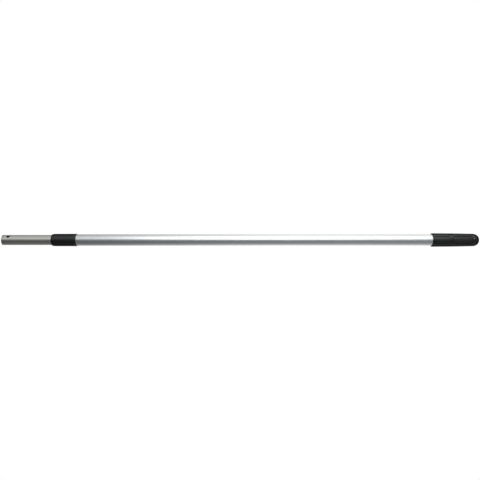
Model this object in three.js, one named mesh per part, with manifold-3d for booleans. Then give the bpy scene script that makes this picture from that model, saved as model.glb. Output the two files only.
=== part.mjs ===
// A two-section telescopic pole of drawn aluminium tube, held at length by an internal twist lock.
//
// The pole lies along X: the drilled tool tip is at -X, the hand grip at +X, and +Z is up. The origin is on
// the axis, halfway along the closed pole. Every size is in millimetres.
//
// The lock rides inside the outer tube, on the end of the inner tube. A spindle turns with the inner tube and
// draws a cone nut towards a fixed cone. The two cones push three shoes out against the outer tube's wall.

import * as THREE from "three";
import { mergeVertices } from "three/addons/utils/BufferGeometryUtils.js";
import Module from "manifold-3d";

const wasm = await Module();
wasm.setup();

// ---- Driving dimensions ----

const TIP_SHOWN = 108.2; // inner tube ahead of the collar, pole closed
const COLLAR_LENGTH = 54.3;
const TUBE_SHOWN = 777.6; // outer tube between the collar and the grip
const GRIP_LENGTH = 103.2;
const TRAVEL = 780; // how far the inner tube draws out

const OUTER_R = 12.5; // outer tube, 25 mm across
const OUTER_WALL = 0.9;
const INNER_R = 11; // inner tube, 22 mm across
const INNER_WALL = 1;

const NOSE_LENGTH = 18; // collar ahead of the outer tube's mouth
const BUSH_LENGTH = 28; // bush inside the outer tube
const SOCKET_DEPTH = 72; // how far the grip takes in the outer tube and its plug
const END_PLUG_ROOM = 2.5; // of that, left to the plug's flange
const REACH_PLAY = 0.5; // between the lock's flange and the bush, pole fully out

const ROUND = 48; // sides of a full circle on the large parts
const SMALL_ROUND = 20; // sides of a full circle on small parts
const GAP = 0.1; // between parts that sit still on each other
const RUNNING_GAP = 0.3; // between parts that slide or turn on each other
const PAST = 1; // how far a cutting solid reaches past the face it cuts

// ---- Stations along the pole ----

const TIP_X = -(TIP_SHOWN + COLLAR_LENGTH + TUBE_SHOWN + GRIP_LENGTH) / 2;
const COLLAR_X = TIP_X + TIP_SHOWN;
const COLLAR_END = COLLAR_X + COLLAR_LENGTH;
const GRIP_X = COLLAR_END + TUBE_SHOWN;
const GRIP_END = GRIP_X + GRIP_LENGTH;

const MOUTH_X = COLLAR_X + NOSE_LENGTH;
const OUTER_END = GRIP_X + SOCKET_DEPTH - END_PLUG_ROOM;
const BUSH_END = MOUTH_X + BUSH_LENGTH;
const INNER_END = BUSH_END + TRAVEL + REACH_PLAY;

const OUTER_BORE = OUTER_R - OUTER_WALL;
const INNER_BORE = INNER_R - INNER_WALL;

// ---- Materials ----

function material(color, roughness, metalness) {
  return new THREE.MeshStandardMaterial({ color, roughness, metalness });
}

const brightAluminium = material(0xd9dcdf, 0.34, 0.9);
const greyAluminium = material(0xa9a9a6, 0.42, 0.9);
const blackPlastic = material(0x1c1d1f, 0.5, 0);
const softBlack = material(0x191a1b, 0.66, 0);
const whiteNylon = material(0xe6e4dc, 0.45, 0);
const greyNylon = material(0x55585c, 0.5, 0);
const zincSteel = material(0xb6b8ba, 0.3, 1);
const blackRubber = material(0x141414, 0.8, 0);

// ---- Solids ----

// A closed three.js geometry as a solid that can be joined and cut.
function solidOf(geometry) {
  const bare = geometry.index ? geometry.toNonIndexed() : geometry.clone();
  bare.deleteAttribute("normal");
  bare.deleteAttribute("uv");
  const merged = mergeVertices(bare, 1e-4);
  const corners = merged.index.array;
  const kept = [];
  for (let i = 0; i < corners.length; i += 3) {
    const [a, b, c] = corners.subarray(i, i + 3);
    if (a !== b && b !== c && a !== c) kept.push(a, b, c);
  }
  const vertProperties = merged.getAttribute("position").array;
  const triVerts = new Uint32Array(kept);
  return new wasm.Manifold(new wasm.Mesh({ numProp: 3, vertProperties, triVerts }));
}

// The solid's own vertices and triangles as a three.js geometry.
function geometryOf(solid) {
  const made = solid.getMesh();
  const position = new Float32Array(made.numVert * 3);
  for (let i = 0; i < made.numVert; i++) {
    const start = i * made.numProp;
    position.set(made.vertProperties.subarray(start, start + 3), i * 3);
  }
  const geometry = new THREE.BufferGeometry();
  geometry.setAttribute("position", new THREE.BufferAttribute(position, 3));
  geometry.setIndex(new THREE.BufferAttribute(made.triVerts, 1));
  geometry.computeVertexNormals();
  return geometry;
}

const pole = new THREE.Group();

// Adds a solid to the pole as a named mesh, turned about the pole's axis.
function addPart(name, solid, look, turn = 0) {
  const mesh = new THREE.Mesh(geometryOf(solid), look);
  mesh.name = name;
  mesh.rotation.x = turn;
  pole.add(mesh);
}

// Spins [x, radius] points about the pole's axis. The points run towards +X on the outside and back on the
// inside, or from one end of the axis to the other.
function revolved(points, sides = ROUND) {
  const profile = points.map(([x, r]) => new THREE.Vector2(r, x));
  profile.push(profile[0].clone());
  return solidOf(new THREE.LatheGeometry(profile, sides).rotateZ(-Math.PI / 2));
}

function rod(x0, x1, r, sides = ROUND) {
  return revolved([[x0, 0], [x0, r], [x1, r], [x1, 0]], sides);
}

function ring(x0, x1, bore, r, sides = ROUND) {
  return revolved([[x0, bore], [x0, r], [x1, r], [x1, bore]], sides);
}

// A round bar across the pole at x, between two distances from the axis. Its angle runs from -Y towards +Z.
function radialBar(x, angle, barRadius, from, to, sides = SMALL_ROUND) {
  const bar = new THREE.CylinderGeometry(barRadius, barRadius, to - from, sides);
  bar.translate(x, (from + to) / 2, 0);
  bar.rotateX(Math.PI - angle);
  return solidOf(bar);
}

// ---- Tubes ----

const TOOL_HOLE_FROM_TIP = 14;
const TOOL_HOLE_R = 3.75;
const TOOL_HOLE_ANGLE = THREE.MathUtils.degToRad(47); // up from the front of the pole
const LUG_X = MOUTH_X + 16; // the collar's lugs snap into two holes in the outer tube
const LUG_R = 2;
const LUG_COVER = 0.5; // collar left over the root of each lug
const LUG_ANGLES = [0, Math.PI];
const PLUG_LENGTH = 42; // anchor plug inside the inner tube
const PLUG_X = INNER_END - PLUG_LENGTH;
const PIN_INSET = 8; // from the plug's end
const PIN_X = PLUG_X + PIN_INSET;
const PIN_R = 1.5;
const PIN_ANGLE = Math.PI / 2;

function outerTube() {
  let tube = ring(MOUTH_X, OUTER_END, OUTER_BORE, OUTER_R);
  for (const angle of LUG_ANGLES) {
    tube = tube.subtract(radialBar(LUG_X, angle, LUG_R + 2 * GAP, OUTER_BORE - PAST, OUTER_R + PAST));
  }
  return tube;
}

function innerTube() {
  const tube = ring(TIP_X, INNER_END, INNER_BORE, INNER_R);
  const toolHoleX = TIP_X + TOOL_HOLE_FROM_TIP;
  const toolHole = radialBar(toolHoleX, TOOL_HOLE_ANGLE, TOOL_HOLE_R, 0, INNER_R + PAST, ROUND);
  const pinHoles = radialBar(PIN_X, PIN_ANGLE, PIN_R + GAP, -INNER_R - PAST, INNER_R + PAST);
  return tube.subtract(toolHole).subtract(pinHoles);
}

addPart("outer_tube", outerTube(), brightAluminium);
addPart("inner_tube", innerTube(), greyAluminium);

// ---- Collar and its bush ----

const COLLAR_R = 13.6;
const COLLAR_DRAFT = 0.1; // its front is this much slimmer
const NOSE_ROUNDING_LENGTH = 6; // its front edge is rounded like an ellipse
const NOSE_ROUNDING_HEIGHT = 1.9;
const NOSE_ROUNDING_STEPS = 6;
const RIM_CHAMFER = 0.4; // of its rear edge
const LEAD_IN = 0.3; // chamfer inside its rear edge
const BUSH_FLANGE = 1.2;
const BUSH_PLAY = 0.12; // between the bush and the inner tube
const BUSH_FIT = 0.08; // between the bush and the outer tube
const FLANGE_X = MOUTH_X - GAP - BUSH_FLANGE;

// The ferrule over the mouth of the outer tube: a nose that the inner tube runs through, then a socket.
function collar() {
  const noseBore = INNER_R + RUNNING_GAP;
  const socketBore = OUTER_R + GAP;
  const shoulder = FLANGE_X - GAP;
  const frontR = COLLAR_R - COLLAR_DRAFT;
  const rounding = [];
  for (let i = 0; i <= NOSE_ROUNDING_STEPS; i++) {
    const angle = ((i / NOSE_ROUNDING_STEPS) * Math.PI) / 2;
    const x = COLLAR_X + NOSE_ROUNDING_LENGTH * (1 - Math.cos(angle));
    rounding.push([x, frontR - NOSE_ROUNDING_HEIGHT * (1 - Math.sin(angle))]);
  }
  let made = revolved([
    ...rounding,
    [COLLAR_END - RIM_CHAMFER, COLLAR_R],
    [COLLAR_END, COLLAR_R - RIM_CHAMFER],
    [COLLAR_END, socketBore + LEAD_IN],
    [COLLAR_END - LEAD_IN, socketBore],
    [shoulder, socketBore],
    [shoulder, noseBore],
    [COLLAR_X, noseBore],
  ]);
  for (const angle of LUG_ANGLES) {
    made = made.add(radialBar(LUG_X, angle, LUG_R, OUTER_BORE + GAP, COLLAR_R - LUG_COVER));
  }
  return made;
}

// A thin liner in the mouth of the outer tube. The collar's shoulder traps its flange against the tube.
function guideBush() {
  const bore = INNER_R + BUSH_PLAY;
  const sleeve = OUTER_BORE - BUSH_FIT;
  const rim = OUTER_R - GAP;
  return revolved([
    [FLANGE_X, bore],
    [FLANGE_X, rim],
    [FLANGE_X + BUSH_FLANGE, rim],
    [FLANGE_X + BUSH_FLANGE, sleeve],
    [BUSH_END, sleeve],
    [BUSH_END, bore],
  ]);
}

addPart("collar", collar(), blackPlastic);
addPart("guide_bush", guideBush(), whiteNylon);

// ---- Grip ----

const GRIP_MOUTH_R = 14.85;
const GRIP_TAPER = 1.05; // lost from the radius by TAPER_SPAN
const TAPER_SPAN = 86;
const TAPER_POWER = 1.8;
const DOME_LENGTH = 14.5;
const DOME_FROM = GRIP_LENGTH - DOME_LENGTH; // from the grip's mouth
const DOME_POWER = 2.3; // 2 would be an ellipse; more is squarer
const MOUTH_CHAMFER_LENGTH = 1;
const MOUTH_CHAMFER = 0.5; // taken off the radius
const END_HOLLOW_R = 8.5;
const END_WALL = 6; // grip left behind the hollow
const PIP_FROM_MOUTH = 88.8; // a small moulding pip, just behind the front pad
const PIP_ANGLE = THREE.MathUtils.degToRad(13);
const PIP_R = 1.1;
const PIP_HEIGHT = 0.4;

const PAD_THICKNESS = 0.9;
const PAD_GROOVE = 1; // left open all round each pad
const PAD_CORNER = 6.2;
const PAD_HALF_WIDTH = GRIP_MOUTH_R / 2; // a twelfth of a turn to each side
const PAD_SPANS = { short: [2.4, 37.6], long: [43.4, 85.4] }; // start and end, from the grip's mouth
const SIDES = ["front", "top", "back", "bottom"]; // each a quarter turn on from the last

// Outer radius of the grip at a distance from its mouth.
function gripRadius(distance) {
  const tapered = GRIP_MOUTH_R - GRIP_TAPER * (Math.min(distance, DOME_FROM) / TAPER_SPAN) ** TAPER_POWER;
  const intoDome = Math.max(distance - DOME_FROM, 0) / DOME_LENGTH;
  return tapered * (1 - intoDome ** DOME_POWER) ** (1 / DOME_POWER);
}

// The grip's outer form, sunk below its surface by a depth.
function gripForm(depth) {
  const bodySteps = 5;
  const domeSteps = 7;
  const skin = [[GRIP_X, 0], [GRIP_X, GRIP_MOUTH_R - MOUTH_CHAMFER - depth]];
  for (let i = 0; i <= bodySteps; i++) {
    const distance = MOUTH_CHAMFER_LENGTH + ((DOME_FROM - MOUTH_CHAMFER_LENGTH) * i) / bodySteps;
    skin.push([GRIP_X + distance, gripRadius(distance) - depth]);
  }
  for (let i = 1; i < domeSteps; i++) {
    const intoDome = Math.sin(((i / domeSteps) * Math.PI) / 2) ** (2 / DOME_POWER);
    const distance = DOME_FROM + intoDome * DOME_LENGTH;
    skin.push([GRIP_X + distance, gripRadius(distance) - depth]);
  }
  skin.push([GRIP_END - depth, 0]);
  return revolved(skin);
}

// A rounded rectangle seen from the front of the grip, pushed back from beyond its skin to near its axis.
// The margin grows it all round.
function padBlock([start, end], margin) {
  const half = PAD_HALF_WIDTH + margin;
  const corner = PAD_CORNER + margin;
  const x0 = GRIP_X + start - margin + corner;
  const x1 = GRIP_X + end + margin - corner;
  const z1 = half - corner;
  const outline = new THREE.Shape();
  outline.absarc(x1, -z1, corner, -Math.PI / 2, 0, false);
  outline.absarc(x1, z1, corner, 0, Math.PI / 2, false);
  outline.absarc(x0, z1, corner, Math.PI / 2, Math.PI, false);
  outline.absarc(x0, -z1, corner, Math.PI, 1.5 * Math.PI, false);
  const depth = GRIP_MOUTH_R;
  const block = new THREE.ExtrudeGeometry(outline, { depth, bevelEnabled: false, curveSegments: 5 });
  block.rotateX(Math.PI / 2);
  block.translate(0, -PAST, 0);
  return solidOf(block);
}

function gripBody() {
  const underPads = gripForm(PAD_THICKNESS + GAP);
  let body = gripForm(0);
  for (const span of Object.values(PAD_SPANS)) {
    const pocket = padBlock(span, PAD_GROOVE).subtract(underPads);
    for (let i = 0; i < SIDES.length; i++) {
      body = body.subtract(pocket.rotate([90 * i, 0, 0]));
    }
  }
  const pipTop = gripRadius(PIP_FROM_MOUTH) + PIP_HEIGHT;
  const pip = radialBar(GRIP_X + PIP_FROM_MOUTH, PIP_ANGLE, PIP_R, OUTER_R, pipTop);
  const socket = rod(GRIP_X - PAST, GRIP_X + SOCKET_DEPTH, OUTER_R + GAP);
  const endHollow = rod(GRIP_X, GRIP_END - END_WALL, END_HOLLOW_R, SMALL_ROUND);
  return body.add(pip).subtract(socket).subtract(endHollow);
}

function gripPad(span) {
  return padBlock(span, 0).intersect(gripForm(0)).subtract(gripForm(PAD_THICKNESS));
}

const CUP_LENGTH = 14; // end plug inside the outer tube
const CUP_WALL = 2.1;
const CUP_FLOOR = 1.6;
const CUP_LEAD = 0.5; // chamfer that starts it into the tube

// Closes the rear of the outer tube, so that the lock lands on it and not on the grip.
function tubeEndPlug() {
  const cup = OUTER_BORE - GAP;
  const cupX = OUTER_END - CUP_LENGTH;
  const flangeX = OUTER_END + GAP;
  const flangeEnd = flangeX + CUP_FLOOR;
  const hollow = cup - CUP_WALL;
  return revolved([
    [cupX, hollow],
    [cupX, cup - CUP_LEAD],
    [cupX + CUP_LEAD, cup],
    [flangeX, cup],
    [flangeX, OUTER_R - GAP],
    [flangeEnd, OUTER_R - GAP],
    [flangeEnd, 0],
    [flangeX, 0],
    [flangeX, hollow],
  ]);
}

addPart("grip_body", gripBody(), blackPlastic);
for (const [length, span] of Object.entries(PAD_SPANS)) {
  SIDES.forEach((side, i) => {
    addPart(`grip_pad_${side}_${length}`, gripPad(span), softBlack, (-i * Math.PI) / 2);
  });
}
addPart("tube_end_plug", tubeEndPlug(), greyNylon);

// ---- Twist lock ----

const SPINDLE_R = 5;
const HEAD_R = 7.2; // hexagon, across corners
const HEAD_LENGTH = 6.5;
const HEAD_PLAY = 0.25; // between the head and the flats of its pocket
const HEAD_POCKET = 20; // depth of the plug's pocket for the head
const HEAD_END = PLUG_X + HEAD_POCKET;
const THREAD_CREST = 4.9;
const THREAD_ROOT = 3.7;
const THREAD_PITCH = 4;
const THREAD_FOOT_HALF = 1.25; // half width of the ridge where it meets the core
const THREAD_CREST_HALF = 0.6;
const THREAD_SINK = 0.4; // how far the foot of the ridge is sunk into the core
const THREAD_GAP = 0.25; // between the spindle's thread and the nut's
const PLUG_FLANGE = 4;
const PLUG_LEAD = 0.5; // chamfer that starts the plug into the tube
const FLANGE_PLAY = 0.22; // between the plug's flange and the outer tube
const RIM_PLAY = 0.12; // between a plug or rim and the tube it fits
const SHANK_PLAY = 0.15; // between the spindle and what it turns in
const WASHER = 1;
const WASHER_R = 9.5;
const CLIP = 1.1;
const CLIP_R = 7.6;
const CLIP_HALF_OPENING = THREE.MathUtils.degToRad(25);
const CLIP_NECK = 1.4; // bare neck that the clip snaps over
const LAND_HEIGHT = 0.9; // of the collar turned on the spindle's end, behind the clip
const TAIL = 4; // spindle from the front of the clip's neck to its end

const SHOES = 3;
const SHOE_R = 11.29; // loose; drawing in the nut takes the shoes to the tube's bore
const SHOE_LENGTH = 22;
const SEAT_GAP = 0.12; // between a shoe and the cones
const GROOVE_DEPTH = 1.9; // for the band, round the shoes
const GROOVE_HALF = 1.35;
const BAND_SECTION_R = 0.65;
const BAND_R = 10.45;
const BAND_OFFSET = 0.5; // from the middle of the groove, towards the hub
const SHOE_CHAMFER = 0.5;
const FINGER_HALF = 2; // half the width of the hub's guide fingers
const FINGER_ROOM = FINGER_HALF + RUNNING_GAP;
const HUB_RIM = 3;
const NUT_RIM = 7;
const NUT_R = 10.6;
const RIM_EASE = 0.6; // chamfer of the hub's and the nut's rims
const SLOT_ROOM = 2.5; // left in the nut's slots for the fingers

const CONE_SLOPE = Math.tan(THREE.MathUtils.degToRad(15));
const CONE_LENGTH = 11;
const CONE_ROOT = 9.4; // radius of both cones at their wide ends
const CONE_TIP = CONE_ROOT - CONE_LENGTH * CONE_SLOPE;

const FLANGE_END = INNER_END + GAP + PLUG_FLANGE;
const HUB_X = FLANGE_END + WASHER + 2 * RUNNING_GAP;
const CONE_X = HUB_X + HUB_RIM;
const SHOE_INSET = 1.2; // from the rims to the shoes
const SHOE_X = CONE_X + SHOE_INSET;
const SHOE_END = SHOE_X + SHOE_LENGTH;
const SHOE_MIDDLE = (SHOE_X + SHOE_END) / 2;
const NUT_CONE_END = SHOE_END + SHOE_INSET; // the nut mirrors the hub about the middle of the shoes
const NUT_X = NUT_CONE_END - CONE_LENGTH;
const NUT_END = NUT_CONE_END + NUT_RIM;
const THREAD_X = NUT_X - THREAD_PITCH;
const CLIP_X = NUT_END + THREAD_PITCH;
const SPINDLE_END = CLIP_X + TAIL;

// A right-hand ridge wound round the pole's axis, from x0 to x1. Its growth fattens it to cut a nut.
function threadRidge(x0, x1, growth) {
  const stepsPerTurn = 16;
  const steps = Math.round(((x1 - x0) / THREAD_PITCH) * stepsPerTurn);
  const foot = THREAD_ROOT - THREAD_SINK;
  const footHalf = THREAD_FOOT_HALF + growth;
  const crestHalf = THREAD_CREST_HALF + growth;
  const crest = THREAD_CREST + growth;
  const section = [[-footHalf, foot], [-crestHalf, crest], [crestHalf, crest], [footHalf, foot]];
  const points = [];
  const faces = [];
  for (let k = 0; k <= steps; k++) {
    const turns = k / stepsPerTurn;
    const angle = turns * 2 * Math.PI;
    for (const [along, r] of section) {
      points.push(x0 + turns * THREAD_PITCH + along, r * Math.cos(angle), r * Math.sin(angle));
    }
  }
  for (let k = 0; k < steps; k++) {
    for (let j = 0; j < 4; j++) {
      const a = k * 4 + j;
      const b = k * 4 + ((j + 1) % 4);
      faces.push(a, a + 4, b, b, a + 4, b + 4);
    }
  }
  const last = steps * 4;
  faces.push(0, 1, 2, 0, 2, 3, last, last + 2, last + 1, last, last + 3, last + 2);
  const ridge = new THREE.BufferGeometry();
  ridge.setAttribute("position", new THREE.Float32BufferAttribute(points, 3));
  ridge.setIndex(faces);
  return solidOf(ridge);
}

// Pinned into the end of the inner tube. Its flange centres the tube, and meets the bush at full reach.
function anchorPlug() {
  const fit = INNER_BORE - RIM_PLAY;
  const rim = OUTER_BORE - FLANGE_PLAY;
  const body = revolved([
    [PLUG_X, 0],
    [PLUG_X, fit - PLUG_LEAD],
    [PLUG_X + PLUG_LEAD, fit],
    [INNER_END + GAP, fit],
    [INNER_END + GAP, rim],
    [FLANGE_END, rim],
    [FLANGE_END, 0],
  ]);
  const hexPocket = rod(PLUG_X - PAST, HEAD_END + GAP, HEAD_R + HEAD_PLAY, 6);
  const shankBore = rod(HEAD_END, FLANGE_END + PAST, SPINDLE_R + SHANK_PLAY, SMALL_ROUND);
  const pinHole = radialBar(PIN_X, PIN_ANGLE, PIN_R + GAP, -INNER_R, INNER_R);
  return body.subtract(hexPocket).subtract(shankBore).subtract(pinHole);
}

function lockSpindle() {
  const head = rod(HEAD_END - HEAD_LENGTH, HEAD_END, HEAD_R, 6);
  const shank = rod(HEAD_END - PAST, THREAD_X + PAST, SPINDLE_R, SMALL_ROUND);
  const core = rod(THREAD_X, SPINDLE_END, THREAD_ROOT, SMALL_ROUND);
  const ridge = threadRidge(THREAD_X - THREAD_PITCH, CLIP_X - THREAD_FOOT_HALF - RUNNING_GAP, 0);
  const land = rod(CLIP_X + CLIP_NECK, SPINDLE_END, THREAD_ROOT + LAND_HEIGHT, SMALL_ROUND);
  return core.add(ridge).add(shank).add(head).add(land);
}

// A long block on the i-th line between two shoes, for the hub's fingers and the room round them.
function fingerBlock(half, x0, x1, i) {
  const block = new THREE.BoxGeometry(x1 - x0, OUTER_R, 2 * half);
  block.translate((x0 + x1) / 2, OUTER_R / 2, 0);
  block.rotateX(((i + 0.5) * 2 * Math.PI) / SHOES);
  return solidOf(block);
}

// The fixed cone. Its fingers pass between the shoes into the nut, so that neither turns with the spindle.
// Its rim drags on the bore of the outer tube.
function expanderHub() {
  const rim = OUTER_BORE - RIM_PLAY;
  const coneEnd = CONE_X + CONE_LENGTH;
  let made = revolved([
    [HUB_X, 0],
    [HUB_X, rim - RIM_EASE],
    [HUB_X + RIM_EASE, rim],
    [CONE_X, rim],
    [CONE_X, CONE_ROOT],
    [coneEnd, CONE_TIP],
    [coneEnd, 0],
  ]);
  const fingerStart = CONE_X - PAST;
  const fingers = ring(fingerStart, NUT_CONE_END, CONE_TIP, CONE_ROOT);
  for (let i = 0; i < SHOES; i++) {
    made = made.add(fingers.intersect(fingerBlock(FINGER_HALF, fingerStart, NUT_CONE_END, i)));
  }
  return made.subtract(rod(HUB_X - PAST, coneEnd + PAST, SPINDLE_R + RUNNING_GAP, SMALL_ROUND));
}

// One of the equal shoes, its middle at +Y before it is turned into place. Both ends are hollowed to the
// cones, and a groove round the outside holds the band.
function expanderShoe() {
  const endBore = CONE_ROOT - (SHOE_X - CONE_X) * CONE_SLOPE + SEAT_GAP;
  const middleBore = CONE_ROOT - (SHOE_MIDDLE - CONE_X) * CONE_SLOPE + SEAT_GAP;
  const grooveFloor = SHOE_R - GROOVE_DEPTH;
  const form = revolved([
    [SHOE_X, endBore],
    [SHOE_X, SHOE_R - SHOE_CHAMFER],
    [SHOE_X + SHOE_CHAMFER, SHOE_R],
    [SHOE_MIDDLE - GROOVE_HALF, SHOE_R],
    [SHOE_MIDDLE - GROOVE_HALF, grooveFloor],
    [SHOE_MIDDLE + GROOVE_HALF, grooveFloor],
    [SHOE_MIDDLE + GROOVE_HALF, SHOE_R],
    [SHOE_END - SHOE_CHAMFER, SHOE_R],
    [SHOE_END, SHOE_R - SHOE_CHAMFER],
    [SHOE_END, endBore],
    [SHOE_MIDDLE, middleBore],
  ]);
  const reach = 3 * OUTER_R;
  const share = Math.PI / SHOES; // half of one shoe's share of the circle
  const wedge = new THREE.Shape();
  wedge.moveTo(0, 0);
  for (const angle of [-share, -share / 2, 0, share / 2, share]) {
    wedge.lineTo(reach * Math.sin(angle), reach * Math.cos(angle));
  }
  const sector = new THREE.ExtrudeGeometry(wedge, { depth: SHOE_LENGTH + 2 * PAST, bevelEnabled: false });
  sector.rotateY(Math.PI / 2);
  sector.translate(SHOE_X - PAST, 0, 0);
  const roomAbove = fingerBlock(FINGER_ROOM, SHOE_X - PAST, SHOE_END + PAST, 0);
  const roomBelow = fingerBlock(FINGER_ROOM, SHOE_X - PAST, SHOE_END + PAST, SHOES - 1);
  return form.intersect(solidOf(sector)).subtract(roomAbove).subtract(roomBelow);
}

// The moving cone, tapped for the spindle and slotted for the hub's fingers.
function coneNut() {
  const slotEnd = NUT_CONE_END + SLOT_ROOM;
  let made = revolved([
    [NUT_X, 0],
    [NUT_X, CONE_TIP],
    [NUT_CONE_END, CONE_ROOT],
    [NUT_CONE_END, NUT_R],
    [NUT_END - RIM_EASE, NUT_R],
    [NUT_END, NUT_R - RIM_EASE],
    [NUT_END, 0],
  ]);
  made = made.subtract(rod(NUT_X - PAST, NUT_END + PAST, THREAD_ROOT + THREAD_GAP, SMALL_ROUND));
  made = made.subtract(threadRidge(THREAD_X - THREAD_PITCH, NUT_END + 2 * THREAD_PITCH, THREAD_GAP));
  const slots = ring(NUT_X - PAST, slotEnd, CONE_TIP - RUNNING_GAP, OUTER_R);
  for (let i = 0; i < SHOES; i++) {
    made = made.subtract(slots.intersect(fingerBlock(FINGER_ROOM, NUT_X - PAST, slotEnd, i)));
  }
  return made;
}

// An elastic band round the shoes, at its stretched size. It sits off the middle of the groove, towards the
// hub, so that the groove can pass over it as the shoes draw in.
function shoeBand() {
  const band = new THREE.TorusGeometry(BAND_R, BAND_SECTION_R, 6, ROUND);
  band.rotateY(Math.PI / 2);
  band.translate(SHOE_MIDDLE - BAND_OFFSET, 0, 0);
  return solidOf(band);
}

// A spring clip snapped over the neck at the end of the spindle, open at one side.
function retainingClip() {
  const from = CLIP_HALF_OPENING;
  const to = 2 * Math.PI - CLIP_HALF_OPENING;
  const outline = new THREE.Shape();
  outline.absarc(0, 0, CLIP_R, from, to, false);
  outline.absarc(0, 0, THREAD_ROOT + SHANK_PLAY, to, from, true);
  const clip = new THREE.ExtrudeGeometry(outline, { depth: CLIP, bevelEnabled: false, curveSegments: 16 });
  clip.rotateY(Math.PI / 2);
  clip.translate(CLIP_X + (CLIP_NECK - CLIP) / 2, 0, 0);
  return solidOf(clip);
}

function thrustWasher() {
  const washerX = FLANGE_END + RUNNING_GAP;
  return ring(washerX, washerX + WASHER, SPINDLE_R + GAP, WASHER_R, SMALL_ROUND);
}

function anchorPin() {
  const half = INNER_R - GAP;
  return radialBar(PIN_X, PIN_ANGLE, PIN_R, -half, half);
}

addPart("anchor_plug", anchorPlug(), greyNylon);
addPart("anchor_pin", anchorPin(), zincSteel);
addPart("lock_spindle", lockSpindle(), zincSteel);
addPart("thrust_washer", thrustWasher(), zincSteel);
addPart("expander_hub", expanderHub(), whiteNylon);
for (let i = 0; i < SHOES; i++) {
  addPart(`expander_shoe_${i + 1}`, expanderShoe(), greyNylon, (i * 2 * Math.PI) / SHOES);
}
addPart("shoe_band", shoeBand(), blackRubber);
addPart("cone_nut", coneNut(), whiteNylon);
addPart("retaining_clip", retainingClip(), zincSteel);

export default pole;
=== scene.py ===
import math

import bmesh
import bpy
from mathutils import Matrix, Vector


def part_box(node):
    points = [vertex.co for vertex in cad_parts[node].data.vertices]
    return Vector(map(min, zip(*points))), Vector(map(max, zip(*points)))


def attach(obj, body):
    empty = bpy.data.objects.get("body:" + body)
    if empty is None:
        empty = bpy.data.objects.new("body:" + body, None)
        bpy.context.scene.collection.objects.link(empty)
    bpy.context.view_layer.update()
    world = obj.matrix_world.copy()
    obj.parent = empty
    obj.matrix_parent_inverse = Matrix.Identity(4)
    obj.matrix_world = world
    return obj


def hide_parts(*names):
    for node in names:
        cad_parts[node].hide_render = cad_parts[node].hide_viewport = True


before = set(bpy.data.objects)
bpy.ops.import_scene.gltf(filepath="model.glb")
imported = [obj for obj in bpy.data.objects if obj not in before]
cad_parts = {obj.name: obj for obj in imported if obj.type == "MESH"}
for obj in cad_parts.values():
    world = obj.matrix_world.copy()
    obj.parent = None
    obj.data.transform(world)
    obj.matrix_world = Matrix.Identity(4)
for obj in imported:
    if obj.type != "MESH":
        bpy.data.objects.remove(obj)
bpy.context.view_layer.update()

# The looks of a two-section telescopic pole: fine meshes over the CAD frame, their materials, and a studio.
# Lengths are millimetres until a mesh is finished, and metres for lights and the camera. The pole lies along
# X, with its tip at -X and its front at -Y. Profiles are (x, r) points: place along the pole, then radius.

MM = 0.001
AROUND = 192  # sides of a full circle on the large parts
FINE = 96  # and on the small ones
BAR_SIDES = 48
QUARTER = math.pi / 2
TURN = 2 * math.pi
OUTER_WALL = 0.9
INNER_WALL = 1.0
GAP = 0.1  # between parts that sit still on each other
RUNNING_GAP = 0.3  # between parts that slide or turn on each other
PAST = 1.0  # how far a cutting form reaches past the face it cuts
WELD = 0.001  # points closer than this are one
APART = 0.01  # the least step along the pole between two rings of a mesh
SHARP = math.radians(34)  # edges bent by more than this stay crisp in the shading


# ---- The frame's own sizes ----

def reach(node):
    """Start, end and largest radius of a CAD node, in mm."""
    low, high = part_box(node)
    radius = max(high.y, -low.y, high.z, -low.z)
    return low.x / MM, high.x / MM, radius / MM


# ---- Mesh building ----

def rounded(corners, steps=4):
    """Turns (x, r, radius) corners of a closed profile into points, each corner rounded by its radius."""
    points = []
    for i, (x, r, radius) in enumerate(corners):
        here = Vector((x, r))
        if radius == 0:
            points.append(here)
            continue
        back = (Vector(corners[i - 1][:2]) - here).normalized()
        ahead = (Vector(corners[(i + 1) % len(corners)][:2]) - here).normalized()
        half = back.angle(ahead) / 2
        centre = here + (back + ahead).normalized() * radius / math.sin(half)
        first = here + back * radius / math.tan(half) - centre
        last = here + ahead * radius / math.tan(half) - centre
        start = math.atan2(first.y, first.x)
        sweep = (math.atan2(last.y, last.x) - start + math.pi) % TURN - math.pi
        for k in range(steps + 1):
            angle = start + sweep * k / steps
            points.append(centre + radius * Vector((math.cos(angle), math.sin(angle))))
    return points


def evenly(low, high, count):
    """Even steps from low to just short of high."""
    return [low + (high - low) * k / count for k in range(count)]


def stations(points, extra):
    """Adds the extra x places to a profile wherever its lines along the pole pass them."""
    out = []
    for here, there in zip(points, points[1:] + points[:1]):
        out.append(here)
        low, high = sorted((here[0], there[0]))
        between = [x for x in sorted(extra) if low + APART < x < high - APART]
        for x in between if here[0] < there[0] else reversed(between):
            out.append(here.lerp(there, (x - here[0]) / (there[0] - here[0])))
    return out


def around(x, r, angle):
    """A point at x and radius r. Angle 0 is the pole's front, a quarter turn its top."""
    return Vector((x, -r * math.cos(angle), r * math.sin(angle)))


def bridge(bm, low, high):
    """Faces between two closed rings of the same count, or between a ring and a single point."""
    for i in range(max(len(low), len(high))):
        j = i + 1
        corners = [low[i % len(low)], low[j % len(low)], high[j % len(high)], high[i % len(high)]]
        corners = list(dict.fromkeys(corners))
        if len(corners) > 2:
            bm.faces.new(corners)


def lathe(points, sides=AROUND, place=around):
    """Spins a closed profile about an axis, the pole's unless place says otherwise."""
    bm = bmesh.new()
    rings = []
    for along, r in points:
        count = 1 if r < 1e-6 else sides
        rings.append([bm.verts.new(place(along, r, TURN * i / sides)) for i in range(count)])
    for low, high in zip(rings, rings[1:] + rings[:1]):
        bridge(bm, low, high)
    bmesh.ops.recalc_face_normals(bm, faces=bm.faces)
    return bm


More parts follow.
